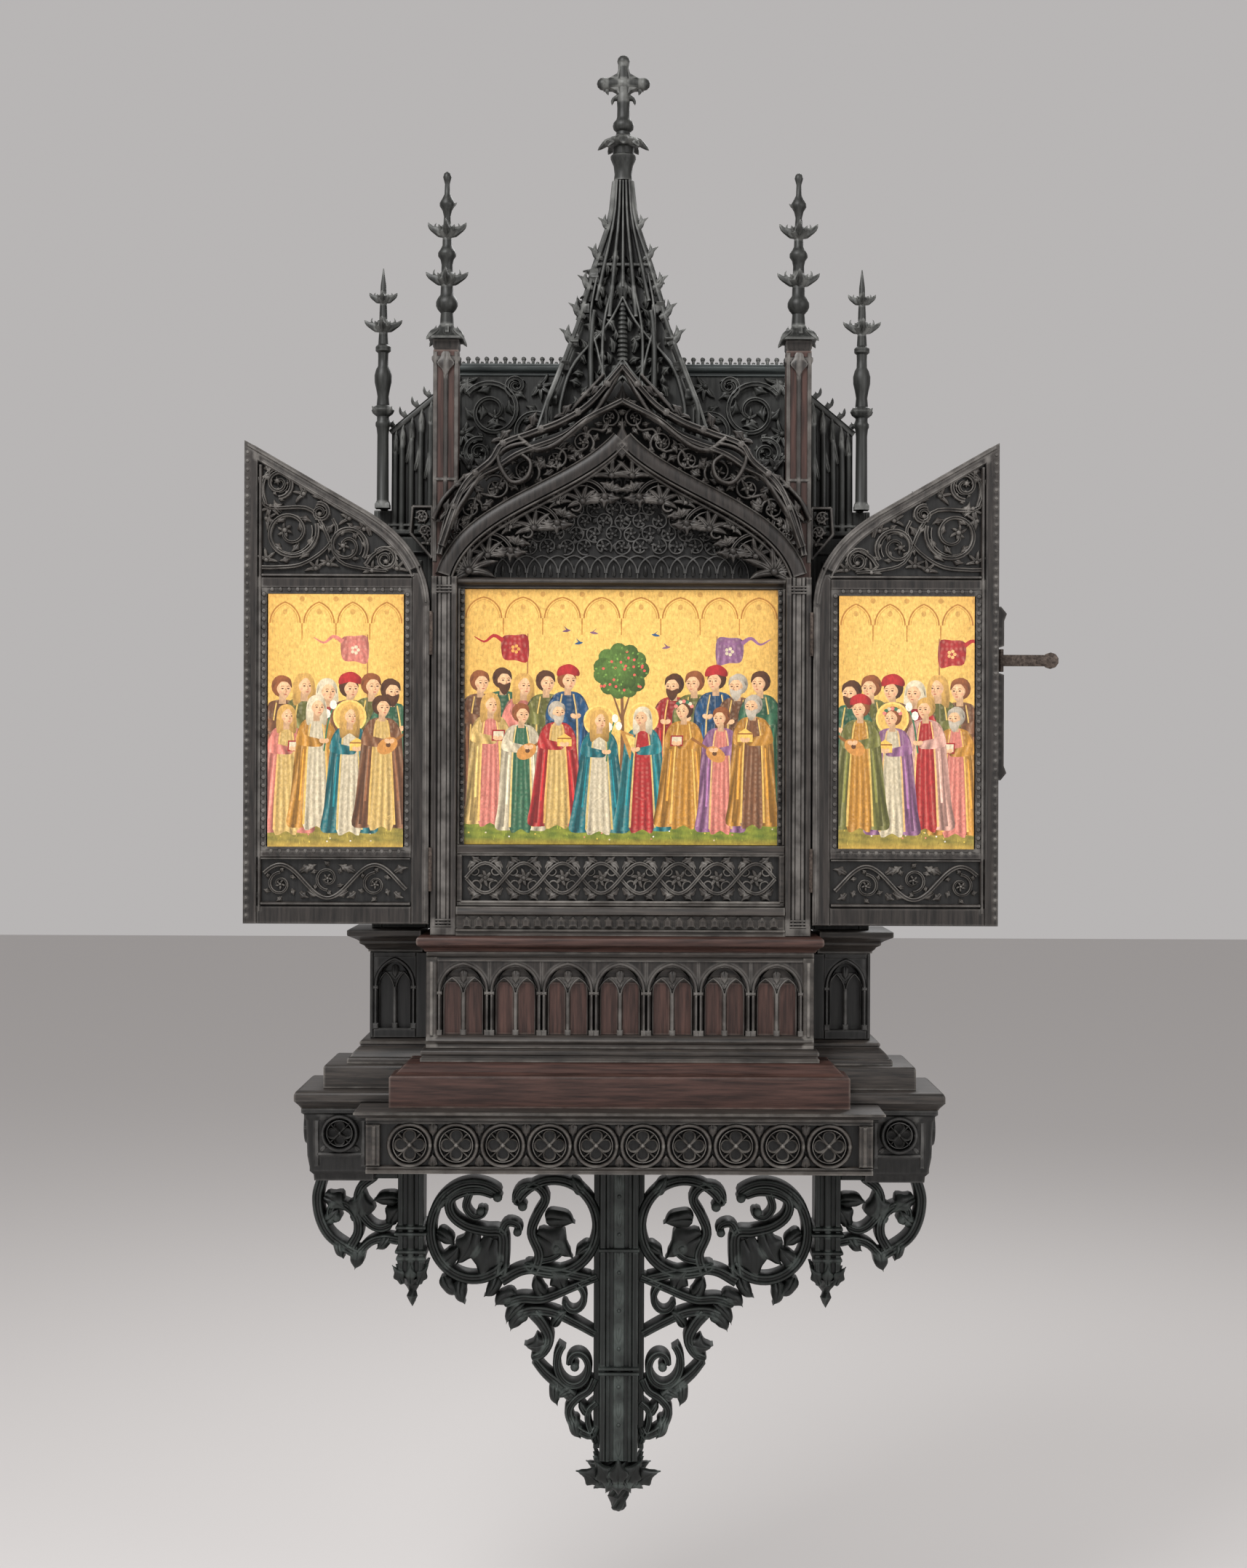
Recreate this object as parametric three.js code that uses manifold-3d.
// Neo-Gothic triptych altarpiece of dark carved oak, on its own wall console.
// Millimetres. X runs to the viewer's right, the front looks along -Y and Z is up. The wall is the
// plane y = 0, and the origin lies on it, on the centre line, level with the middle of the console's
// carved frieze.
// The wings are modelled fully open, flat beside the cabinet.
import * as THREE from "three";
import { mergeVertices } from "three/addons/utils/BufferGeometryUtils.js";
import Module from "manifold-3d";

const wasm = await Module();
wasm.setup();

// ---------------------------------------------------------------- driving dimensions

const GAP = 0.3; // between pieces that touch
const SEAM = 0.001; // edges that a join leaves within a flat face are dropped below this height
const PI = Math.PI;

// Console
const POST = { halfWidth: 19, depth: 60, bottom: -331 };
const DROP = { collarHalf: 36, tip: -386 };
const PENDANT = { x: 208.5, halfWidth: 13, depth: 52, bottom: -146, tip: -183, collarHalf: 19 };
const PIERCED = { front: -46, back: -22 }; // the plane of the sawn and carved scroll panels
const BEAM = { halfWidth: 240, depth: 172, bottom: -24.5, top: 28.2 };
const ROUNDEL = { pitch: 44.2, count: 10, radius: 18.6, relief: 2.5, sunk: 4 };
const END_BOX = {
  inner: BEAM.halfWidth + GAP, outer: 310, foot: 298, depth: 112, bottom: -43.5, top: BEAM.top,
};
const SHELF = { halfWidth: 316, depth: 118, bottom: 28.5, top: 46 };
const LIP = { halfWidth: 251, depth: 180, bottom: 28.5, top: 35 };

// Foot
const PLINTH = { halfWidth: 220, depth: 154, shoulder: 66, top: 77, topHalf: 203, topDepth: 140 };
const SIDE_PLINTH = { halfWidth: 290, depth: 98, top: 69 };
const PREDELLA = { halfWidth: 187, depth: 128, bottom: 90, top: 182.4 };
const ARCADE = { count: 7, pitch: 50.5, sill: 102, springing: 146, crown: 172 };
const SIDE_PREDELLA = { halfWidth: 248, depth: 70, bottom: 92.5, top: 177.5 };
const CORNICE = { halfWidth: 196, depth: 138, top: 198 };

// Cabinet
const FRONT = 130; // depth of the front plane of the central bay
const SET_BACK = 118; // depth of the plane of the piers above the arch
const BACK_BOARD = 12; // its thickness
const STILE = { inner: 159, outer: 183.4, depth: 24.4 };
const ARCH_SPRING = 545; // height where the stiles give way to the arch
const PIER_TOP = 776;
const SIDE_BAY = { outer: 247, shoulder: 229.5, depth: 64, shoulderZ: 617, eaves: 697, ridge: 736 };
const PICTURE = { halfWidth: 153, bottom: 286, top: 534, front: 112 };
const LOWER_FRIEZE = { bottom: 230, top: 277 };
const TYMPANUM = { front: 104, back: 92, bottom: 545 };
const ARCH = { half: 174, apex: 682, width: 17, front: 130, back: 108 };
const ROOF = 660;
const SCREEN = { halfWidth: 172, front: 20, back: 6, bottom: ROOF + 3 + GAP, top: 771 };

// Crown
const SPIRE = { y: -60, base: 716, top: 945 };
const CROSS = { tip: 1071, armZ: 1042, armHalf: 27 };
const TALL_PINNACLE = { tip: 941 };
const LOW_PINNACLE = { x: 237, y: -71.5, half: 7.2, foot: SIDE_BAY.shoulderZ, tip: 855 };

// Wings
const HINGE = { x: 183, y: -131.5, radius: 1.3, length: 42, lower: 262, upper: 490 };
const WING = {
  inner: 2.2, outer: 181.2, thickness: 20, sunk: 5, relief: 4.2, bottom: 209, heel: 520,
  shoulder: 6, shoulderZ: 572, knee: 57.6, kneeZ: 604.6, tip: 676,
};
const WING_PICTURE = { inner: 26.7, outer: 158, bottom: 283, top: 527.4 };
const WING_FIELDS = {
  outer: 164, lower: { inner: 21, bottom: 231, top: 271 }, upper: { inner: 25, bottom: 549 },
};
const STRIP = { thickness: 4, inner: 170, outer: 189.4, bottom: 350, top: 519, notch: 14 };
const HASP = { z: 466.7, pivot: 190.8, length: 44, thickness: 4, half: 5.5, bulb: 8, pin: 2.6 };
const REACH = 400; // how far the cutting blocks run past the outside

// ---------------------------------------------------------------- solids

// A closed three.js geometry as a solid that can be joined and cut.
function solid(geometry) {
  const loose = geometry.index ? geometry.toNonIndexed() : geometry;
  const bare = new THREE.BufferGeometry().setAttribute("position", loose.getAttribute("position"));
  const merged = mergeVertices(bare, 1e-3);
  return new wasm.Manifold(new wasm.Mesh({
    numProp: 3,
    vertProperties: merged.attributes.position.array,
    triVerts: new Uint32Array(merged.index.array),
  }));
}

function solidFrom(positions) {
  const attribute = new THREE.Float32BufferAttribute(positions, 3);
  return solid(new THREE.BufferGeometry().setAttribute("position", attribute));
}

function join(parts) {
  return parts.reduce((whole, part) => whole.add(part));
}

// A block set against the plane y = -back. Its top face may be narrower or shallower than its foot.
function block({
  left, right, front, back = 0, bottom, top, topLeft = left, topRight = right, topFront = front,
}) {
  const geometry = new THREE.BoxGeometry(1, 1, 1);
  const corners = geometry.getAttribute("position");
  for (let i = 0; i < corners.count; i++) {
    const high = corners.getZ(i) > 0;
    const x = corners.getX(i) < 0 ? (high ? topLeft : left) : high ? topRight : right;
    const y = corners.getY(i) < 0 ? -(high ? topFront : front) : -back;
    corners.setXYZ(i, x, y, high ? top : bottom);
  }
  return solid(geometry);
}

// A block that is symmetric about the centre line.
function course({ half, topHalf = half, ...rest }) {
  return block({ left: -half, right: half, topLeft: -topHalf, topRight: topHalf, ...rest });
}

// An outline in the plane of the front, (x, z), sawn out of a board between two depths.
function sawn(outline, front, back) {
  const shape = new THREE.Shape(outline);
  const geometry = new THREE.ExtrudeGeometry(shape, { depth: front - back, bevelEnabled: false });
  geometry.rotateX(PI / 2);
  geometry.translate(0, -back, 0);
  return solid(geometry);
}

const at = (x, z) => new THREE.Vector2(x, z);

// Outlines are drawn for the right-hand side, and side = -1 turns them over for the left.
function flip(points, side) {
  return points.map((p) => at(side * p.x, p.y));
}

// A round curve in the plane of the front whose radius may open or close as it turns. Angles are in turns.
class Coil extends THREE.Curve {
  constructor(x, z, from, to, startRadius, endRadius = startRadius, tall = 1) {
    super();
    Object.assign(this, { x, z, from, to, startRadius, endRadius, tall });
  }
  getPoint(t, target = at(0, 0)) {
    const angle = 2 * PI * (this.from + (this.to - this.from) * t);
    const radius = this.startRadius + (this.endRadius - this.startRadius) * t;
    return target.set(this.x + radius * Math.cos(angle), this.z + radius * this.tall * Math.sin(angle));
  }
}

const bend = (...points) => new THREE.SplineCurve(points.map(([x, z]) => at(x, z)));

// The outline of a strip that follows a curve and tapers from one width to another.
function strip(curve, steps, width, endWidth = width) {
  const leftEdge = [];
  const rightEdge = [];
  for (let i = 0; i <= steps; i++) {
    const t = i / steps;
    const p = curve.getPoint(t);
    const along = curve.getTangent(t);
    const half = (width + (endWidth - width) * t) / 2;
    leftEdge.push(at(p.x - along.y * half, p.y + along.x * half));
    rightEdge.unshift(at(p.x + along.y * half, p.y - along.x * half));
  }
  return [...leftEdge, ...rightEdge];
}

// A regular outline round a point.
function disc(x, z, radius, sides = 6) {
  return Array.from({ length: sides }, (_, i) => {
    const angle = (2 * PI * (i + 0.5)) / sides;
    return at(x + radius * Math.cos(angle), z + radius * Math.sin(angle));
  });
}

// A pointed leaf that grows from (x, z) at an angle in turns and bends a little to one side.
function leaf(x, z, turn, length, width, curl = 0.2) {
  const angle = 2 * PI * turn;
  const place = (along, across) =>
    at(
      x + along * length * Math.cos(angle) - across * width * Math.sin(angle),
      z + along * length * Math.sin(angle) + across * width * Math.cos(angle),
    );
  return [place(0, -0.15), place(0.5, -0.5 + curl), place(1, curl), place(0.5, 0.5), place(0, 0.15)];
}

// A straight stack of sections, each a rectangle of half sizes (x, y) at a height, round a vertical axis.
function stack(sections, centreX, centreY) {
  const corners = [[-1, -1], [1, -1], [1, 1], [-1, 1]];
  const positions = [];
  const point = ([z, halfX, halfY = halfX], k) =>
    [centreX + corners[k % 4][0] * halfX, centreY + corners[k % 4][1] * halfY, z];
  for (let i = 0; i + 1 < sections.length; i++) {
    for (let k = 0; k < 4; k++) {
      const [a, b] = [point(sections[i], k), point(sections[i], k + 1)];
      const [c, d] = [point(sections[i + 1], k + 1), point(sections[i + 1], k)];
      positions.push(...a, ...b, ...c, ...a, ...c, ...d);
    }
  }
  for (const k of [0, 2, 1, 0, 3, 2]) positions.push(...point(sections[0], k));
  for (const k of [0, 1, 2, 0, 2, 3]) positions.push(...point(sections.at(-1), k));
  return solidFrom(positions);
}

// A turned or faceted stem round a vertical axis, from (height, radius) pairs that end in points.
function stem(profile, sides, x, y) {
  const points = profile.map(([z, radius]) => at(radius, z));
  const geometry = new THREE.LatheGeometry(points, sides);
  geometry.rotateX(PI / 2);
  geometry.rotateZ(PI / sides);
  geometry.translate(x, y, 0);
  return solid(geometry);
}

// A crown of four leaves round a stem, as two crossed plates.
function crown(x, y, z, spread, height, thickness) {
  const half = [[0.26, -0.5], [1, 0.1], [0.28, 0.5]];
  const rest = half.map(([a, b]) => [-a, b]).reverse();
  const outline = new THREE.Shape([...half, ...rest].map(([a, b]) => at(a * spread, z + b * height)));
  const shape = new THREE.ExtrudeGeometry(outline, { depth: thickness, bevelEnabled: false });
  shape.translate(0, 0, -thickness / 2);
  shape.rotateX(PI / 2);
  const across = shape.clone().rotateZ(PI / 2);
  return solid(shape.translate(x, y, 0)).add(solid(across.translate(x, y, 0)));
}

// ---------------------------------------------------------------- the scene graph

const altarpiece = new THREE.Group();

const OAK = { color: 0x3a3532, roughness: 0.55, metalness: 0 };
const FINISHES = {
  oak: OAK,
  oak_red: { ...OAK, color: 0x54382f },
  picture: { color: 0xe3b45c, roughness: 0.45, metalness: 0 },
  iron: { color: 0x3a3430, roughness: 0.5, metalness: 0.8 },
};
const materials = Object.fromEntries(
  Object.entries(FINISHES).map(([name, finish]) => [name, new THREE.MeshStandardMaterial(finish)]),
);

function place(name, whole, finish = "oak") {
  const { vertProperties, triVerts } = whole.asOriginal().simplify(SEAM).getMesh();
  const geometry = new THREE.BufferGeometry();
  geometry.setAttribute("position", new THREE.Float32BufferAttribute(vertProperties, 3));
  geometry.setIndex(new THREE.Uint32BufferAttribute(triVerts, 1));
  const mesh = new THREE.Mesh(geometry.toNonIndexed(), materials[finish]);
  mesh.geometry.computeVertexNormals();
  mesh.name = name;
  altarpiece.add(mesh);
}

const SIDES = [["left", -1], ["right", 1]];

function placeBoth(name, make, finish) {
  for (const [word, side] of SIDES) place(`${name}_${word}`, make(side), finish);
}

// ---------------------------------------------------------------- console

function centrePost() {
  const { halfWidth, depth, bottom } = POST;
  const shaft = course({ half: halfWidth, front: depth, bottom, top: BEAM.bottom - GAP });
  const band = course({ half: halfWidth - 4, front: depth + 4, bottom: -262, top: -256 });
  const collar = course({
    half: 22, topHalf: DROP.collarHalf, front: 62, topFront: 74, bottom: bottom - 16, top: bottom,
  });
  const drop = course({
    half: 1.5, topHalf: 24, front: 12, topFront: 60, bottom: DROP.tip, top: bottom - 14,
  });
  return join([shaft, band, collar, drop]);
}

function pendant(side) {
  const { x, halfWidth, depth, bottom, tip, collarHalf } = PENDANT;
  const around = (half) => ({ left: side * x - half, right: side * x + half });
  const narrow = (half) => ({ topLeft: side * x - half, topRight: side * x + half });
  return join([
    block({ ...around(halfWidth), front: depth, bottom, top: BEAM.bottom - GAP }),
    block({ ...around(halfWidth - 3), front: depth + 3, bottom: -108, top: -101 }),
    block({
      ...around(halfWidth - 4), ...narrow(collarHalf), front: 44, topFront: 58,
      bottom: bottom - 9, top: bottom,
    }),
    block({ ...around(1.2), ...narrow(9), front: 14, topFront: 44, bottom: tip, top: bottom - 8 }),
  ]);
}

// The big pierced panel beside the post: two linked vine rings above, hooked leaves and a volute below.
function scrollPanel(side) {
  const { front, back } = PIERCED;
  const vine = (curve, steps, width, endWidth) => flip(strip(curve, steps, width, endWidth), side);
  const near = { x: 66, z: -100, radius: 45 };
  const far = { x: 146, z: -106, radius: 44 };
  const stems = [
    // the ring beside the post, and the shoots inside it
    vine(new Coil(near.x, near.z, 0.1, 0.84, near.radius, near.radius, 1.08), 9, 9, 10.5),
    vine(bend([84, -146], [74, -105], [80, -71], [98, -80]), 4, 10, 6),
    vine(bend([28, -86], [62, -106], [55, -126]), 2, 11, 5),
    // the ring beside the pendant, and the curled shoot that crosses it
    vine(new Coil(far.x, far.z, -0.36, 0.34, far.radius, far.radius, 1.14), 8, 10.5, 9),
    vine(bend([118, -62], [152, -74], [161, -90], [118, -104], [98, -108]), 6, 9, 6),
    vine(bend([138, -100], [132, -152]), 1, 15, 20),
    vine(bend([188, -118], [166, -140]), 1, 11, 5),
    vine(bend([180, -146], [176, -160], [166, -171]), 2, 11, 4),
    // the branches that step down towards the post
    vine(bend([122, -156], [96, -141], [24, -152]), 3, 9, 9),
    vine(bend([22, -152], [84, -173], [112, -171], [119, -184]), 3, 9, 4),
    vine(bend([24, -206], [70, -185], [98, -186], [110, -199]), 3, 11, 4),
    vine(bend([92, -188], [74, -203], [67, -226], [89, -235]), 5, 10, 4),
    vine(bend([89, -235], [60, -254], [42, -288]), 4, 6, 9),
    vine(bend([44, -282], [37, -306], [22, -323]), 3, 8, 6),
    vine(bend([24, -264], [36, -282], [24, -312]), 3, 6, 5),
    vine(new Coil(43, -240, 0.1, -0.9, 20, 7), 7, 8, 7),
    vine(new Coil(46, -172, 0.25, 0.95, 12, 9), 4, 6, 6),
  ];
  const bulbs = [[98, -82, 7], [98, -110, 6], [117, -64, 8], [132, -142, 15]];
  const rail = block({
    left: side > 0 ? POST.halfWidth + GAP : -(PENDANT.x - PENDANT.halfWidth - GAP),
    right: side > 0 ? PENDANT.x - PENDANT.halfWidth - GAP : -(POST.halfWidth + GAP),
    front: -front, back: -back, bottom: BEAM.bottom - 8, top: BEAM.bottom - GAP,
  });
  const upright = (x) => block({
    left: side > 0 ? x - 3 : -x - 3, right: side > 0 ? x + 3 : 3 - x,
    front: -front, back: -back, bottom: -325, top: BEAM.bottom - GAP,
  });
  const pieces = [
    ...stems.map((outline) => sawn(outline, -front, -back)),
    ...bulbs.map(([x, z, r]) => sawn(flip(disc(x, z, r, 6), side), -front, -back)),
    ...[[66, -46], [146, -50]].map(([x, z]) => sawn(flip(disc(x, z, 15, 4), side), -front, -back)),
    rail,
    upright(POST.halfWidth + GAP + 3),
  ];
  const post = course({ half: POST.halfWidth + GAP, front: 100, bottom: -400, top: 0 });
  const collar = course({ half: 22, topHalf: DROP.collarHalf + 1, front: 100, bottom: -350, top: -330 });
  const outer = PENDANT.x - PENDANT.halfWidth - GAP;
  const beyond = block({
    left: side > 0 ? outer : -REACH, right: side > 0 ? REACH : -outer, front: 100, bottom: -REACH, top: 0,
  });
  return join(pieces).subtract(post).subtract(collar).subtract(beyond);
}

// The small bracket that hangs under each end box, outside the pendant.
function outerScroll(side) {
  const { front, back } = PIERCED;
  const inner = PENDANT.x + PENDANT.halfWidth + GAP;
  const top = END_BOX.bottom - GAP;
  const vine = (curve, steps, width, endWidth) =>
    sawn(flip(strip(curve, steps, width, endWidth), side), -front, -back);
  const left = side > 0 ? inner : -304;
  const right = side > 0 ? 304 : -inner;
  const pieces = [
    block({ left, right, front: -front, back: -back, bottom: top - 12, top }),
    vine(bend([300, top - 8], [301, -82], [291, -108], [267, -136]), 6, 10, 6),
    vine(bend([inner - 2, -119], [252, -121], [268, -138]), 5, 9, 3),
    vine(bend([250, top - 8], [255, -80], [250, -100], [262, -124]), 5, 11, 9),
    vine(bend([296, top - 8], [276, -80], [270, -102], [258, -112]), 6, 12, 6),
    vine(bend([inner - 1, -104], [234, -92], [256, -84]), 4, 8, 5),
    vine(bend([inner - 1, -66], [246, -58]), 2, 8, 7),
  ];
  const cut = block({
    left: side > 0 ? 0 : -inner, right: side > 0 ? inner : 0, front: 100, bottom: -400, top: 0,
  });
  return join(pieces).subtract(cut);
}

// A raised disc sunk with four rounded lobes, set on a face at the given depth.
function roundel(x, z, face) {
  const { radius, relief } = ROUNDEL;
  return sawn(disc(x, z, radius, 8), face + relief, face - 1);
}

// The four-lobed sinking in a roundel, as one outline that swells and narrows by turns.
function roundelLobes(x, z, face) {
  const { radius, relief, sunk } = ROUNDEL;
  const outline = Array.from({ length: 8 }, (_, k) => {
    const reach = radius * (k % 2 ? 0.3 : 0.78);
    return at(x + reach * Math.cos((PI / 4) * k), z + reach * Math.sin((PI / 4) * k));
  });
  return sawn(outline, face + relief + 1, face + relief - sunk);
}

function frieze() {
  const { halfWidth, depth, bottom, top } = BEAM;
  const { pitch, count } = ROUNDEL;
  const centres = Array.from({ length: count }, (_, i) => (i - (count - 1) / 2) * pitch);
  const beam = course({ half: halfWidth, front: depth - 3, bottom, top });
  const ends = [-1, 1].map((side) => {
    const [a, b] = [side * halfWidth, side * (halfWidth - 16)].sort((p, q) => p - q);
    return block({ left: a, right: b, front: depth, bottom, top });
  });
  const fillets = [
    course({ half: halfWidth, front: depth, bottom, top: bottom + 4.5 }),
    course({ half: halfWidth, front: depth, bottom: top - 4, top }),
  ];
  const raised = join([beam, ...ends, ...fillets, ...centres.map((x) => roundel(x, 0, depth - 3))]);
  return raised.subtract(join(centres.map((x) => roundelLobes(x, 0, depth - 3))));
}

function endBox(side) {
  const { inner, outer, foot, depth, bottom, top } = END_BOX;
  const centre = (inner + outer) / 2 + 1;
  const waist = -20; // where the outer face starts to curve in
  const outline = [
    at(inner, bottom), at(foot, bottom), at(foot + 4, bottom + 8), at(outer - 1, waist),
    at(outer, top), at(inner, top),
  ];
  const box = sawn(flip(outline, side), depth, 0);
  const collar = sawn(
    flip([at(inner, bottom), at(foot + 4, bottom), at(foot + 6, bottom + 6), at(inner, bottom + 6)], side),
    depth + 3, 0,
  );
  const whole = join([box, collar, roundel(side * centre, 0, depth)]);
  return whole.subtract(roundelLobes(side * centre, 0, depth));
}

function shelf() {
  return join([
    course({
      half: LIP.halfWidth - 5, topHalf: LIP.halfWidth, front: LIP.depth - 5, topFront: LIP.depth, back: 0.5,
      bottom: LIP.bottom, top: LIP.top - 4,
    }),
    course({ half: LIP.halfWidth, front: LIP.depth, bottom: LIP.top - 4, top: LIP.top }),
    course({
      half: SHELF.halfWidth - 4, topHalf: SHELF.halfWidth, front: SHELF.depth - 4, topFront: SHELF.depth,
      bottom: SHELF.bottom, top: SHELF.top - 9,
    }),
    course({ half: SHELF.halfWidth, front: SHELF.depth, bottom: SHELF.top - 9, top: SHELF.top }),
  ]);
}

// ---------------------------------------------------------------- foot of the altarpiece

function plinth() {
  const { halfWidth, depth, shoulder, top, topHalf, topDepth } = PLINTH;
  const onShelf = SHELF.top + GAP;
  const onLip = LIP.top + GAP;
  return join([
    course({ half: halfWidth, front: depth, back: SHELF.depth + GAP, bottom: onLip, top: shoulder }),
    course({ half: halfWidth, front: depth, bottom: onShelf, top: shoulder }),
    course({ half: halfWidth - 6, topHalf, front: depth - 6, topFront: topDepth, bottom: shoulder, top }),
    course({
      half: SIDE_PLINTH.halfWidth, front: SIDE_PLINTH.depth, bottom: onShelf, top: SIDE_PLINTH.top,
    }),
  ]);
}

function baseMoulding() {
  const over = PLINTH.top + GAP;
  const overSide = SIDE_PLINTH.top + GAP;
  const whole = join([
    course({ half: 192, front: 136, bottom: over, top: 83 }),
    course({ half: 190, topHalf: 188, front: 133, topFront: 129, bottom: 83, top: PREDELLA.bottom - GAP }),
    course({ half: 269, front: 88, bottom: overSide, top: 76 }),
    course({ half: 267, topHalf: 256, front: 86, topFront: 76, bottom: 76, top: 86 }),
    course({ half: 254, front: 74, bottom: 86, top: SIDE_PREDELLA.bottom - GAP }),
  ]);
  const below = course({ half: PLINTH.halfWidth, front: 200, bottom: 0, top: over });
  const predella = course({
    half: PREDELLA.halfWidth + GAP, front: 200, bottom: PREDELLA.bottom - GAP, top: 200,
  });
  return whole.subtract(below).subtract(predella);
}

// A pointed arch outline, from its sill to its crown.
function lancet(x, sill, springing, crown, half) {
  const shoulder = springing + (crown - springing) * 0.62;
  return [
    at(x - half, sill), at(x + half, sill), at(x + half, springing), at(x + half * 0.68, shoulder),
    at(x, crown), at(x - half * 0.68, shoulder), at(x - half, springing),
  ];
}

// One of the two lights under an arch, with a plain pointed head.
function narrowLight(x, half) {
  const { sill, springing } = ARCADE;
  return [
    at(x - half, sill), at(x + half, sill), at(x + half, springing - 6), at(x, springing + 12),
    at(x - half, springing - 6),
  ];
}

// One two-light window of the blind arcade, cut into a face at the given depth: an arched sinking that
// holds a pair of lights sunk deeper.
function windowLight(x, width, face) {
  const { sill, springing, crown } = ARCADE;
  const half = width / 2;
  const quarter = half / 2;
  return join([
    sawn(lancet(x, sill, springing, crown - 3, half - 3), face + 1, face - 2.5),
    ...[-1, 1].map((k) => sawn(narrowLight(x + k * quarter * 0.96, quarter - 2.6), face, face - 7)),
  ]);
}

function predellaCentre() {
  const { halfWidth, depth, bottom, top } = PREDELLA;
  const { count, pitch, sill } = ARCADE;
  const box = course({ half: halfWidth, front: depth, bottom, top });
  const sillMould = course({
    half: halfWidth - 2, front: depth + 3, topFront: depth + 0.5, bottom: bottom + 4, top: sill - 2,
  });
  const centres = Array.from({ length: count }, (_, i) => (i - (count - 1) / 2) * pitch);
  const windows = centres.map((x) => windowLight(x, pitch, depth));
  return join([box, sillMould]).subtract(join(windows));
}

function predellaSide(side) {
  const { halfWidth, depth, bottom, top } = SIDE_PREDELLA;
  const inner = PREDELLA.halfWidth + GAP;
  const [left, right] = side > 0 ? [inner, halfWidth] : [-halfWidth, -inner];
  const box = block({ left, right, front: depth, bottom, top });
  return box.subtract(windowLight((left + right) / 2 + side * 6, 42, depth));
}

function predellaCornice() {
  const bottom = PREDELLA.top + GAP;
  return join([
    course({ half: 188, topHalf: 193, front: 130, topFront: 135, bottom, top: bottom + 6 }),
    course({ half: CORNICE.halfWidth, front: CORNICE.depth, bottom: bottom + 6, top: CORNICE.top }),
  ]);
}

// The stepped ledge that carries each side bay.
function ledge(side) {
  const inner = CORNICE.halfWidth + GAP;
  const step = (half, front, bottom, top) =>
    block({ left: side > 0 ? inner : -half, right: side > 0 ? half : -inner, front, bottom, top });
  return join([
    step(252, 73, SIDE_PREDELLA.top + GAP, 184),
    step(258, 78, 184, 192),
    step(269, 86, 192, 200.6),
  ]);
}

// ---------------------------------------------------------------- cabinet

function bottomRail() {
  const board = course({
    half: STILE.inner - GAP, front: FRONT, back: BACK_BOARD + GAP, bottom: CORNICE.top + GAP, top: 226,
  });
  const groove = course({
    half: STILE.inner, front: FRONT + 2, back: FRONT - 2, bottom: 205.5, top: 217.5,
  });
  return board.subtract(groove);
}

function backBoard() {
  return course({ half: STILE.outer, front: BACK_BOARD, bottom: CORNICE.top + GAP, top: ROOF - GAP });
}

// The square corner post: stile of the central bay below the arch, slimmer pier above it.
function cornerPost(side) {
  const { inner, outer, depth } = STILE;
  const [left, right] = side > 0 ? [inner, outer] : [-outer, -inner];
  return join([
    block({ left, right, front: FRONT, back: FRONT - depth, bottom: CORNICE.top + GAP, top: ARCH_SPRING }),
    block({ left, right, front: SET_BACK, back: FRONT - depth, bottom: ARCH_SPRING, top: PIER_TOP - 10 }),
    block({
      left: left - 2, right: right + 2, front: SET_BACK + 2, back: FRONT - depth - 9,
      bottom: PIER_TOP - 10, top: PIER_TOP - GAP,
    }),
    block({
      left, right, front: SET_BACK, back: FRONT - depth - 7, bottom: ROOF + 3 + GAP, top: PIER_TOP - 10,
    }),
  ]);
}

function sideWall(side) {
  const { inner, outer, depth } = STILE;
  const [left, right] = side > 0 ? [inner + 4, outer] : [-outer, -inner - 4];
  return block({
    left, right, front: FRONT - depth - GAP, back: BACK_BOARD + GAP,
    bottom: CORNICE.top + GAP, top: ROOF - GAP,
  });
}

// Side bay with a pent top that carries crockets, and pleated upright mouldings on its front.
function sideBay(side) {
  const { outer, shoulder, depth, shoulderZ, eaves, ridge } = SIDE_BAY;
  const inner = STILE.outer + GAP;
  const bottom = 200.6 + GAP;
  const body = sawn(
    flip([at(inner, bottom), at(outer, bottom), at(outer, shoulderZ - GAP), at(shoulder, shoulderZ - GAP),
      at(shoulder, eaves), at(inner, ridge)], side),
    depth, 0,
  );
  const slope = (x) => ridge + ((eaves - ridge) * (x - inner)) / (shoulder - inner);
  const pleats = [0, 1, 2, 3].map((i) => {
    const x = inner + 6 + i * 11;
    return sawn(flip([at(x - 3, shoulderZ - 30), at(x + 3, shoulderZ - 30), at(x + 3, slope(x + 3) - 6),
      at(x - 3, slope(x - 3) - 6)], side), depth + 5, depth - 1);
  });
  const hooks = [0, 1, 2].map((i) => {
    const x = inner + 4 + i * 14;
    return sawn(flip(leaf(x, slope(x) - 4, 0.19, 15, 8), side), depth - 2, depth - 12);
  });
  return join([body, ...pleats, ...hooks]);
}

function roofBoard() {
  return course({ half: STILE.outer, front: TYMPANUM.back - GAP, bottom: ROOF, top: ROOF + 3 });
}

function centrePicture() {
  const { halfWidth, bottom, top, front } = PICTURE;
  return course({ half: halfWidth, front, back: front - 8, bottom, top });
}

// Upright moulding between the picture and the stile.
function beadColumn(side) {
  const inner = PICTURE.halfWidth - 1;
  const outer = STILE.inner - GAP;
  const [left, right] = side > 0 ? [inner, outer] : [-outer, -inner];
  const { bottom, top } = PICTURE;
  return block({ left, right, front: 123, back: PICTURE.front + GAP, bottom, top });
}

function pictureHeadRail() {
  const bottom = PICTURE.top + GAP;
  const half = STILE.inner - GAP;
  const back = TYMPANUM.front + GAP;
  return join([
    course({ half, front: 118, topFront: 122, back, bottom, top: bottom + 5 }),
    course({ half, front: 122, back, bottom: bottom + 5, top: TYMPANUM.bottom - GAP }),
  ]);
}

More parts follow.
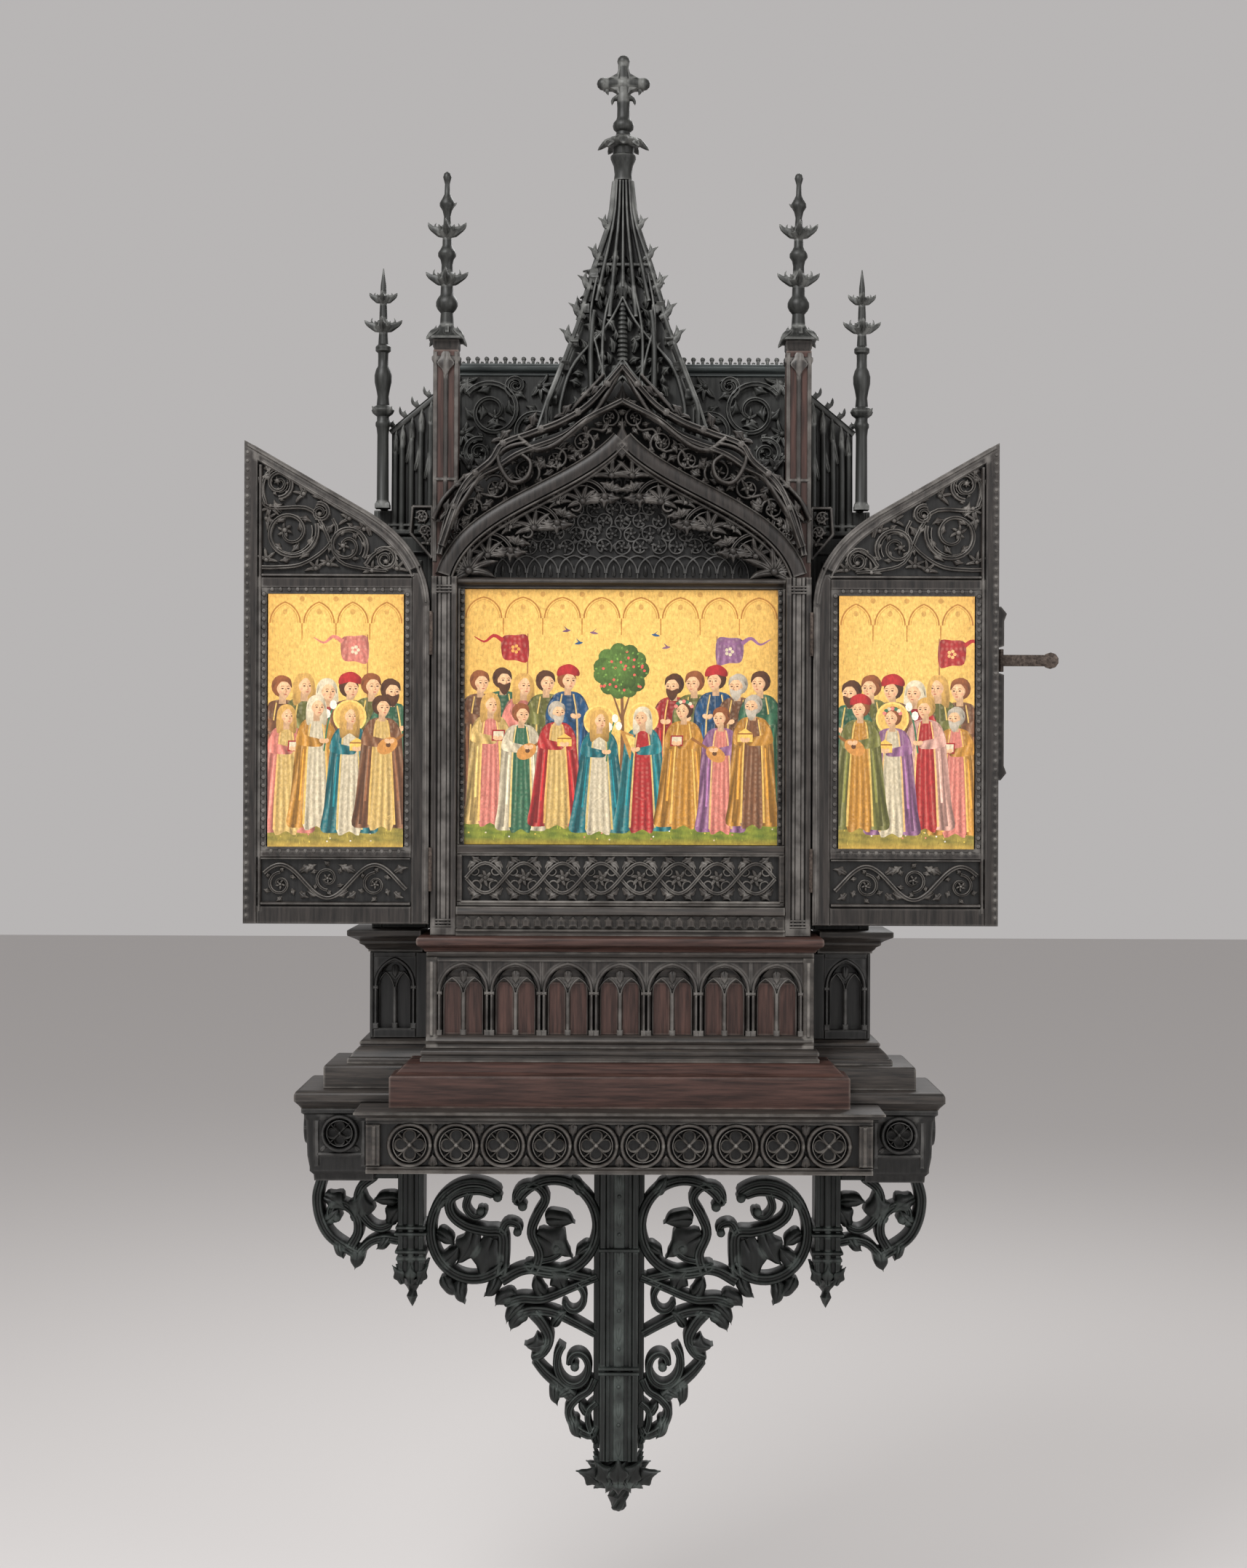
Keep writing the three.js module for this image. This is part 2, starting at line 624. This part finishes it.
// The board under the picture, sunk and filled with two interlaced vines.
function lowerFrieze() {
  const { bottom, top } = LOWER_FRIEZE;
  const half = STILE.inner - GAP;
  const board = course({ half, front: 124, back: 104, bottom: 226 + GAP, top: PICTURE.bottom - GAP });
  const field = course({ half: half - 6, front: 130, back: 118, bottom: bottom + 3, top: top - 1 });
  const middle = (bottom + top) / 2 + 1;
  const reach = half - 8;
  const waves = 4;
  class Wave extends THREE.Curve {
    constructor(sign) {
      super();
      this.sign = sign;
    }
    getPoint(t, target = at(0, 0)) {
      return target.set((2 * t - 1) * reach, middle + this.sign * 15 * Math.sin(2 * PI * waves * t));
    }
  }
  const vines = [1, -1].map((sign) => sawn(strip(new Wave(sign), 6 * waves, 4.5), 122, 117));
  const leaves = Array.from({ length: waves * 2 }, (_, i) => {
    const x = -reach + ((i + 0.5) * reach) / waves;
    const lozenge = [at(x - 12, middle - 3), at(x, middle - 6), at(x + 12, middle + 3), at(x, middle + 6)];
    return sawn(lozenge, 122, 117);
  });
  return join([board.subtract(field), ...vines, ...leaves]);
}

// Half of the ogee arch, as a centre line from the springing to the apex.
function archLine(shift = 0) {
  const { half, apex } = ARCH;
  return new THREE.CubicBezierCurve(
    at(half + shift, ARCH_SPRING - 18), at(half - 2 + shift, 612 + shift), at(45, 624 + shift),
    at(-1, apex + shift),
  );
}

// Keeps only one side of the centre line, with the usual gap.
function halfSpace(side) {
  const [left, right] = side > 0 ? [GAP / 2, REACH] : [-REACH, -GAP / 2];
  return block({ left, right, front: REACH, back: -50, bottom: 0, top: REACH * 3 });
}

// Everything outside the inner face of a corner post, back from a depth, up to a height.
function outside(side, front, top) {
  const edge = STILE.inner - GAP;
  const [left, right] = side > 0 ? [edge, REACH] : [-REACH, -edge];
  return block({ left, right, front, bottom: 0, top });
}

function archHalf(side) {
  const { width, front, back } = ARCH;
  const post = outside(side, REACH, ARCH_SPRING + GAP);
  const pier = outside(side, SET_BACK + GAP, REACH * 2);
  const band = sawn(flip(strip(archLine(), 10, width), side), front, back);
  const sill = course({ half: REACH, front: REACH, bottom: 0, top: ARCH_SPRING - 12 });
  return band.subtract(post).subtract(pier).subtract(sill).intersect(halfSpace(side));
}

// The board behind the arch, closing the gable, with a net of crossing arcs under the arch.
function tympanum() {
  const { front, back, bottom } = TYMPANUM;
  const edge = gableRod("outer").getPoints(14).reverse();
  const slope = edge.filter((p) => p.x > 0.5 && p.x < 158).sort((p, q) => q.x - p.x);
  const half = [at(STILE.inner - GAP, bottom), at(STILE.inner - GAP, 628), ...slope];
  const outline = [...half, at(0, 738), ...half.map((p) => at(-p.x, p.y)).reverse()];
  const board = sawn(outline, front, back);
  const net = [];
  for (let i = -1; i <= 1; i++) {
    for (const turn of [1, -1]) {
      const centre = i * 58 + turn * 42;
      const arc = new Coil(centre, bottom + 1, turn > 0 ? 0.5 : 0, turn > 0 ? 0.33 : 0.17, 56);
      net.push(sawn(strip(arc, 3, 4.5), front + 4, front - 1));
    }
  }
  return join([board, ...net]);
}

// The branching rib that frames the arch: an outer and an inner rod.
function gableRod(which) {
  return which === "outer"
    ? bend([174, 574], [153, 630], [126, 656], [115, 672], [87, 683], [58, 694], [31, 712], [-2, 748])
    : bend([176, 566], [166, 608], [140, 640], [118, 652], [98, 664], [58, 680], [36, 696], [-2, 716]);
}

// Leaf and berry filling between the arch and the rods, with the rods in front of it.
function gableHalf(side) {
  const front = ARCH.front - 4;
  const back = TYMPANUM.front + GAP;
  const rods = [
    sawn(flip(strip(gableRod("outer"), 9, 7.5), side), FRONT + 9, back),
    sawn(flip(strip(gableRod("inner"), 7, 6), side), FRONT + 5, back),
  ];
  const coils = [
    [156, 600, 0.55, -0.2, 12], [126, 630, 0.1, 0.85, 14], [90, 649, 0.6, -0.2, 14],
    [54, 667, 0.1, 0.85, 14], [20, 697, 0.6, -0.15, 10],
  ];
  const carve = (outline) => sawn(flip(outline, side), front, back);
  const vines = coils.map(([x, z, from, to, r]) =>
    carve(strip(new Coil(x, z, from, to, r, r * 0.4), 4, 5.5, 5)));
  const leaves = coils.map(([x, z, , , r], i) => carve(leaf(x, z, 0.15 + 0.3 * (i % 2), r * 1.6, r * 0.8)));
  const arch = sawn(flip(strip(archLine(), 10, ARCH.width + 2 * GAP), side), FRONT + 20, 0);
  const corners = [at(0, 0), at(REACH, 0), at(REACH, 562), at(178, 562)];
  const below = [...corners, ...archLine().getPoints(12), at(0, 600)];
  const under = sawn(flip(below, side), FRONT + 20, 0);
  const pier = outside(side, SET_BACK + GAP, REACH * 2);
  const cuts = join([arch, under, pier]);
  return join([...rods, ...vines, ...leaves]).subtract(cuts).intersect(halfSpace(side));
}

// Openwork under the arch: three little cusped bows and their sprigs of leaves.
function cusping(side) {
  const front = ARCH.front - 8;
  const back = ARCH.front - 18;
  const bows = [
    [128, 566, 0.02, 0.42, 26], [82, 593, 0.02, 0.45, 25], [34, 620, 0.02, 0.49, 23],
  ];
  const carve = (outline) => sawn(flip(outline, side), front, back);
  const arcs = bows.map(([x, z, from, to, r]) => carve(strip(new Coil(x, z, from, to, r), 4, 5)));
  const sprigs = bows.map(([x, z, , , r], i) =>
    [0.13, 0.35].map((turn) => carve(leaf(x, z + 2, turn, r * 0.95, 8, 0.15 * (i % 2 ? 1 : -1)))));
  const web = carve(strip(archLine(-14), 7, 12));
  const arch = sawn(flip(strip(archLine(), 10, ARCH.width + 2 * GAP), side), FRONT + 20, 0);
  const over = [...archLine().getPoints(12), at(0, 900), at(REACH, 900), at(REACH, 500), at(176, 500)];
  const above = sawn(flip(over, side), FRONT + 20, 0);
  const post = outside(side, REACH, REACH * 2);
  const rail = course({ half: REACH, front: REACH, bottom: 0, top: TYMPANUM.bottom });
  const cuts = [arch, above, post, rail];
  return join([...arcs, ...sprigs.flat(), web]).subtract(join(cuts)).intersect(halfSpace(side));
}

// The screen against the wall between the piers, with spiral branches and a crest of beads.
function backScreen() {
  const { halfWidth, front, back, bottom, top } = SCREEN;
  const pitch = 11.2;
  const tooth = (x) => [at(x - 2.8, top), at(x, top + 8), at(x + 2.8, top)];
  const teeth = Array.from({ length: 10 }, (_, i) => tooth(halfWidth - 4 - i * pitch));
  const crest = SIDES.flatMap(([, side]) =>
    teeth.map((outline) => sawn(flip(outline, side), front, back + 4)));
  const vines = SIDES.flatMap(([, side]) =>
    [[134, 716, 0.1, 1.25, 32, 10], [92, 700, 0.6, -0.5, 26, 8]].map(([x, z, from, to, r0, r1]) =>
      sawn(flip(strip(new Coil(x, z, from, to, r0, r1), 7, 5, 4), side), front + 5, front - 1)));
  const sprays = SIDES.flatMap(([, side]) =>
    [[134, 716, 0.3], [134, 716, 0.75], [92, 700, 0.2]].map(([x, z, turn]) =>
      sawn(flip(leaf(x, z, turn, 22, 10), side), front + 5, front - 1)));
  return join([
    course({ half: halfWidth, front, back, bottom, top: top + 0.5 }),
    course({ half: halfWidth, front: front + 6, back: front - 1, bottom: top - 9, top }),
    ...vines, ...sprays, ...crest,
  ]);
}

// ---------------------------------------------------------------- crown

// Half sizes of the spire, (height, across, deep), a tent roof with hollow sides.
const SPIRE_SECTIONS = [
  [SPIRE.base, 77, 30], [747, 65, 27], [799, 46, 22], [859, 31, 17], [911, 16, 12], [SPIRE.top, 9, 8],
];

function spireEdge(z) {
  const k = Math.max(1, SPIRE_SECTIONS.findIndex(([height]) => height >= z));
  const [z0, x0, y0] = SPIRE_SECTIONS[k - 1];
  const [z1, x1, y1] = SPIRE_SECTIONS[k];
  const t = (z - z0) / (z1 - z0);
  return { x: x0 + (x1 - x0) * t, y: y0 + (y1 - y0) * t };
}

// The plan of the spire at one level: square ribs at the corners and in the middle of the front, and
// sunk faces between.
function spirePlan([z, x, y]) {
  const rib = 5;
  const sunk = 2.5;
  const front = [
    [-x, -y], [-x + rib, -y], [-x + rib, -y + sunk], [-2, -y + sunk], [-2, -y],
    [2, -y], [2, -y + sunk], [x - rib, -y + sunk], [x - rib, -y], [x, -y],
  ];
  const flank = [[x, -y + rib], [x - sunk, -y + rib], [x - sunk, y - rib], [x, y - rib], [x, y]];
  const otherFlank = [[-x, y], [-x, y - rib], [-x + sunk, y - rib], [-x + sunk, -y + rib], [-x, -y + rib]];
  return [...front, ...flank, ...otherFlank].map(([px, py]) => [px, SPIRE.y + py, z]);
}

// A solid whose level outlines, all with the same number of corners, are joined straight up.
function loft(levels) {
  const count = levels[0].length;
  const positions = [];
  for (let i = 0; i + 1 < levels.length; i++) {
    for (let k = 0; k < count; k++) {
      const [a, b] = [levels[i][k], levels[i][(k + 1) % count]];
      const [c, d] = [levels[i + 1][(k + 1) % count], levels[i + 1][k]];
      positions.push(...a, ...b, ...c, ...a, ...c, ...d);
    }
  }
  const cap = (level, order) => {
    const faces = THREE.ShapeUtils.triangulateShape(level.map(([x, y]) => at(x, y)), []);
    for (const face of faces) for (const k of order) positions.push(...level[face[k]]);
  };
  cap(levels[0], [0, 2, 1]);
  cap(levels.at(-1), [0, 1, 2]);
  return solidFrom(positions);
}

function spire() {
  const body = loft(SPIRE_SECTIONS.map(spirePlan));
  const crockets = [800, 827, 852, 881, 912].flatMap((z, i) => {
    const foot = spireEdge(z - 10);
    const size = 20 - 2 * i;
    const front = -SPIRE.y + foot.y - 1;
    return [-1, 1].map((side) => sawn(flip(hook(foot.x - 2, z - 12, size), side), front, front - 4));
  });
  const roofTop = ROOF + 3 + GAP;
  const drum = stack([[roofTop, 77, 29], [SPIRE.base + 4, 77, 29]], 0, SPIRE.y);
  return join([body, drum, ...crockets]);
}

// A crocket: a bud that bends away from the slope and turns its tip up.
function hook(x, z, size) {
  const outline = [[0, -0.15], [0.6, 0.2], [0.75, 0.62], [0, 0.35]];
  return outline.map(([a, b]) => at(x + a * size, z + b * size));
}

function crossFinial() {
  const { tip, armZ, armHalf } = CROSS;
  const y = SPIRE.y;
  const base = SPIRE.top + GAP;
  const profile = [
    [base, 0], [base, 9], [964, 10], [972, 15], [975, 9], [992, 6], [1001, 10.5], [1009, 5.5],
    [1030, 5], [1034, 0],
  ];
  const shaft = stem(profile, 6, 0, y);
  const cap = crown(0, y, 980, 24, 14, 6);
  const bud = (x, z, turn) => sawn(disc(x, z, 6.5, 6), -y + 5, -y - 5);
  const arms = [
    course({ half: armHalf - 5, front: -y + 5, back: -y - 5, bottom: armZ - 4.5, top: armZ + 4.5 }),
    block({ left: -4.5, right: 4.5, front: -y + 5, back: -y - 5, bottom: 1024, top: tip - 5 }),
    bud(-armHalf + 6, armZ), bud(armHalf - 6, armZ), bud(0, tip - 6),
    sawn([at(-11, 1031), at(0, 1022), at(11, 1031), at(5, 1036), at(-5, 1036)], -y + 6, -y - 6),
  ];
  return join([shaft, cap, ...arms]);
}

function tallPinnacle(side) {
  const x = side * (STILE.inner + STILE.outer) / 2;
  const y = -(SET_BACK - 10);
  const base = PIER_TOP;
  return join([
    stack([[base, 17], [base + 4, 16], [base + 12, 6]], x, y),
    stem([
      [base + 8, 0], [base + 8, 6], [805, 4.5], [812, 9], [820, 4.5], [853, 4], [860, 7], [867, 3.5],
      [901, 2.6], [909, 5.2], [917, 2], [934, 1.6], [938, 3], [TALL_PINNACLE.tip, 0],
    ], 4, x, y),
    crown(x, y, 837, 21, 16, 4.5),
    crown(x, y, 885, 17.5, 14, 4),
  ]);
}

function lowPinnacle(side) {
  const { y, half, foot, tip } = LOW_PINNACLE;
  const x = side * LOW_PINNACLE.x;
  const back = SIDE_BAY.depth - 14 + GAP;
  const shaft = block({ left: x - half, right: x + half, front: -y + half, back, bottom: foot, top: 706 });
  return join([
    shaft,
    stack([[704, half], [712, 12], [716, 12], [722, 5]], x, y + 1.5),
    stem([
      [715, 0], [715, 5], [737, 4.5], [745, 8.5], [753, 4], [770, 4], [775, 7], [780, 3.6],
      [812, 3], [836, 2], [841, 3.6], [tip, 0],
    ], 4, x, y + 1.5),
    crown(x, y + 1.5, 798, 20, 15, 4.2),
    crown(x, y + 1.5, 825, 13, 12, 3.6),
  ]);
}

// ---------------------------------------------------------------- wings

// A wing lies beside the cabinet when it is open. u is the distance from the hinge line.
const wingX = (u) => HINGE.x + u;
const WING_FACE = -HINGE.y; // depth of the painted face
const WING_BACK = WING_FACE - WING.thickness;

function wingTop() {
  const { inner, heel, shoulder, shoulderZ, knee, kneeZ, outer, tip } = WING;
  const haunch = new THREE.QuadraticBezierCurve(
    at(wingX(inner), heel), at(wingX(shoulder), shoulderZ), at(wingX(knee), kneeZ),
  );
  return [...haunch.getPoints(6), at(wingX(outer), tip)];
}

// Height of the wing's sloping top at a distance from the hinge line, set down by an inset.
function wingSlope(u, inset) {
  const { knee, kneeZ, outer, tip } = WING;
  return kneeZ + ((tip - kneeZ) * (u - knee)) / (outer - knee) - inset;
}

// The upright vines of the upper field and the running vine of the lower one, (u, z) on the wing.
function wingVines() {
  const coils = [
    [138, 584, 0.5, 1.5, 27, 9], [88, 573, 0.55, -0.45, 21, 8], [50, 563, 0, 0.8, 12, 6],
    [148, 628, 0.5, 1.3, 14, 6], [112, 605, 0.1, 0.85, 12, 5],
  ];
  const stems = [
    [[166, 556], [140, 557], [110, 568], [70, 556], [30, 553]],
    [[166, 640], [154, 612], [120, 592], [84, 594], [40, 574]],
  ];
  const leaves = [[138, 584, 0.62], [138, 584, 0.12], [88, 573, 0.3]];
  const { inner, bottom, top } = WING_FIELDS.lower;
  const middle = (bottom + top) / 2;
  const pitch = (WING_FIELDS.outer - inner) / 3;
  const running = [0, 1, 2].flatMap((i) => {
    const u = inner + (i + 0.5) * pitch;
    const wave = [[u - 26, middle + 8], [u - 14, middle + 17], [u + 6, middle + 17], [u + 26, middle - 9]];
    return [strip(new Coil(u, middle, 0.5, 1.15, 15, 7), 4, 4), strip(bend(...wave), 3, 3.6)];
  });
  const wound = ([u, z, from, to, r0, r1]) =>
    strip(new Coil(u, z, from, to, r0, r1), Math.round(3 + r0 / 10), 4.5, 3.5);
  return [
    ...coils.map(wound),
    ...stems.map((points) => strip(bend(...points), 4, 4)),
    ...leaves.map(([u, z, turn]) => leaf(u, z, turn, 18, 9)),
    ...running,
  ];
}

// A board with a sunk place for the picture and two sunk fields of carving.
function wingBoard(side) {
  const { inner, outer, bottom, sunk, relief, knee } = WING;
  const ground = WING_FACE - sunk;
  const onWing = (points) => flip(points.map((p) => at(wingX(p.x), p.y)), side);
  const sink = (points) => sawn(onWing(points), WING_FACE + 1, ground);
  const oblong = (u0, u1, z0, z1) => sink([at(u0, z0), at(u1, z0), at(u1, z1), at(u0, z1)]);
  const outline = [at(wingX(inner), bottom), at(wingX(outer), bottom), ...wingTop().reverse()];
  const { upper, lower, outer: fieldEnd } = WING_FIELDS;
  const upperField = sink([
    at(upper.inner, upper.bottom), at(fieldEnd, upper.bottom), at(fieldEnd, wingSlope(fieldEnd, 18)),
    at(62, wingSlope(62, 18)), at(40, 580), at(28, 564),
  ]);
  const board = sawn(flip(outline, side), WING_FACE, WING_BACK)
    .subtract(oblong(WING_PICTURE.inner, WING_PICTURE.outer, WING_PICTURE.bottom, WING_PICTURE.top))
    .subtract(upperField)
    .subtract(oblong(lower.inner, fieldEnd, lower.bottom, lower.top));
  const vines = wingVines().map((points) => sawn(onWing(points), ground + relief, ground - 1));
  const within = sawn(onWing([
    at(inner + 8, bottom + 8), at(outer - 8, bottom + 8), at(outer - 8, wingSlope(outer - 8, 10)),
    at(knee, wingSlope(knee, 8)), at(18, 560), at(inner + 8, 530),
  ]), WING_FACE + 2, WING_BACK);
  return board.add(join(vines).intersect(within));
}

function wingPicture(side) {
  const { inner, outer, bottom, top } = WING_PICTURE;
  const [left, right] = [wingX(inner) + GAP, wingX(outer) - GAP].map((x) => side * x).sort((a, b) => a - b);
  const back = WING_FACE - WING.sunk + GAP;
  return block({ left, right, front: WING_FACE - 2, back, bottom: bottom + GAP, top: top - GAP });
}

// A knuckle on the hinge line with the leaf that is let in against the wing's edge.
function hinge(side, z) {
  const { x, y, radius, length } = HINGE;
  const barrel = new THREE.CylinderGeometry(radius, radius, length, 6);
  barrel.rotateX(PI / 2);
  barrel.translate(side * x, y, z);
  const [left, right] = [x + 0.7, x + WING.inner - GAP].map((v) => side * v).sort((a, b) => a - b);
  const [bottom, top] = [z - length / 2, z + length / 2];
  const plate = block({ left, right, front: -y + 0.9, back: -y - 14, bottom, top });
  return solid(barrel).add(plate);
}

// The strip on the right wing's back that covers the meeting line when the wings are shut.
function closingStrip() {
  const { thickness, inner, outer, bottom, top, notch } = STRIP;
  const front = WING_BACK - GAP;
  const nose = 14;
  const outline = [
    at(inner, bottom), at(outer - 4, bottom), at(outer + 2, bottom + nose / 2), at(outer, bottom + nose),
    at(outer, top - nose), at(outer + 3, top - nose / 2), at(outer - 5, top), at(inner, top),
  ];
  const hole = block({
    left: wingX(outer - 9), right: wingX(outer + 9), front: front + 1,
    bottom: HASP.z - notch, top: HASP.z + notch,
  });
  return sawn(outline.map((p) => at(wingX(p.x), p.y)), front, front - thickness).subtract(hole);
}

// The hasp: a flat bar with a rounded end on an upright pin, in a notch of the closing strip.
function hasp() {
  const { z, pivot, length, thickness, half, bulb, pin } = HASP;
  const front = WING_BACK - GAP - 0.6;
  const x = wingX(pivot - 4);
  const upright = new THREE.CylinderGeometry(pin, pin, 22, 10);
  upright.rotateX(PI / 2);
  upright.translate(x, -(front - pin), z);
  const end = wingX(pivot + length);
  const outline = [at(x, z - half), at(end, z - half), at(end, z + half), at(x, z + half)];
  const bar = sawn(outline, front, front - thickness);
  return join([solid(upright), bar, sawn(disc(end, z, bulb, 10), front, front - thickness)]);
}

// ---------------------------------------------------------------- assembly

place("console_centre_post", centrePost());
placeBoth("console_pendant", pendant);
placeBoth("console_scroll_panel", scrollPanel);
placeBoth("console_outer_scroll", outerScroll);
place("console_frieze", frieze());
placeBoth("console_end_box", endBox);
place("console_shelf", shelf());

place("plinth", plinth(), "oak_red");
place("base_moulding", baseMoulding());
place("predella_centre", predellaCentre());
placeBoth("predella_side", predellaSide);
place("predella_cornice", predellaCornice(), "oak_red");
placeBoth("side_bay_ledge", ledge);

place("cabinet_bottom_rail", bottomRail());
place("cabinet_back_board", backBoard());
placeBoth("corner_post", cornerPost, "oak_red");
placeBoth("cabinet_side_wall", sideWall);
placeBoth("side_bay", sideBay);
place("cabinet_roof_board", roofBoard());
place("centre_picture", centrePicture(), "picture");
placeBoth("bead_column", beadColumn);
place("picture_head_rail", pictureHeadRail());
place("lower_frieze", lowerFrieze());
place("tympanum", tympanum());
placeBoth("arch_half", archHalf);
placeBoth("gable_half", gableHalf);
placeBoth("cusping", cusping);
place("back_screen", backScreen());

place("spire", spire());
place("cross_finial", crossFinial());
placeBoth("tall_pinnacle", tallPinnacle);
placeBoth("low_pinnacle", lowPinnacle);

placeBoth("wing", wingBoard);
placeBoth("wing_picture", wingPicture, "picture");
placeBoth("hinge_lower", (side) => hinge(side, HINGE.lower), "iron");
placeBoth("hinge_upper", (side) => hinge(side, HINGE.upper), "iron");
place("closing_strip", closingStrip());
place("hasp", hasp(), "iron");

export default altarpiece;
